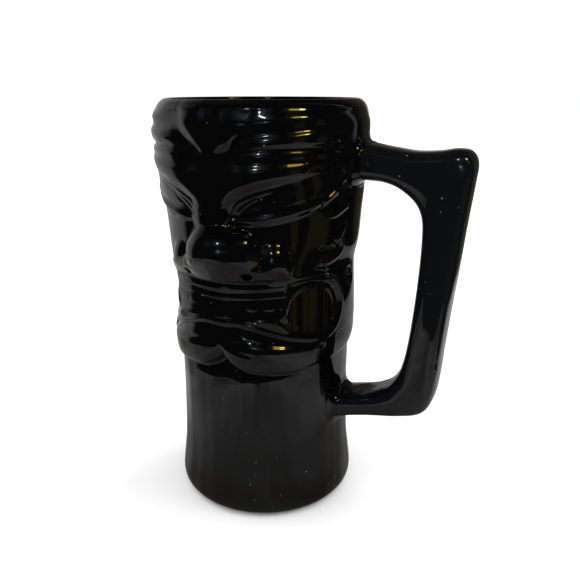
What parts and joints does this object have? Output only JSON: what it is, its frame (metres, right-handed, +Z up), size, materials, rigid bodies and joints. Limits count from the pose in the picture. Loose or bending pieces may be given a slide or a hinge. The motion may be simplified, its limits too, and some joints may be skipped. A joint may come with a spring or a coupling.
{
  "type": "tiki mug",
  "caption": "Tall ceramic tiki mug: round cup with a face in relief below the rim, a plain flared foot and an angular side handle.",
  "frame": {"origin": "on the cup's axis, in the plane that the foot ring rests on", "axes": "+Z up along the cup's axis, -Y the way the face looks, +X the side the handle is on"},
  "size_m": [0.1164, 0.0849, 0.153],
  "materials": {
    "cup_glaze": "jet black high gloss glaze",
    "handle_glaze": "jet black high gloss glaze",
    "bead_glaze": "jet black high gloss glaze over joining slip"
  },
  "bodies": {
    "root": {"cup": "cup_glaze", "handle": "handle_glaze", "upper_slip_bead": "bead_glaze", "lower_slip_bead": "bead_glaze"}
  },
  "joints": []
}
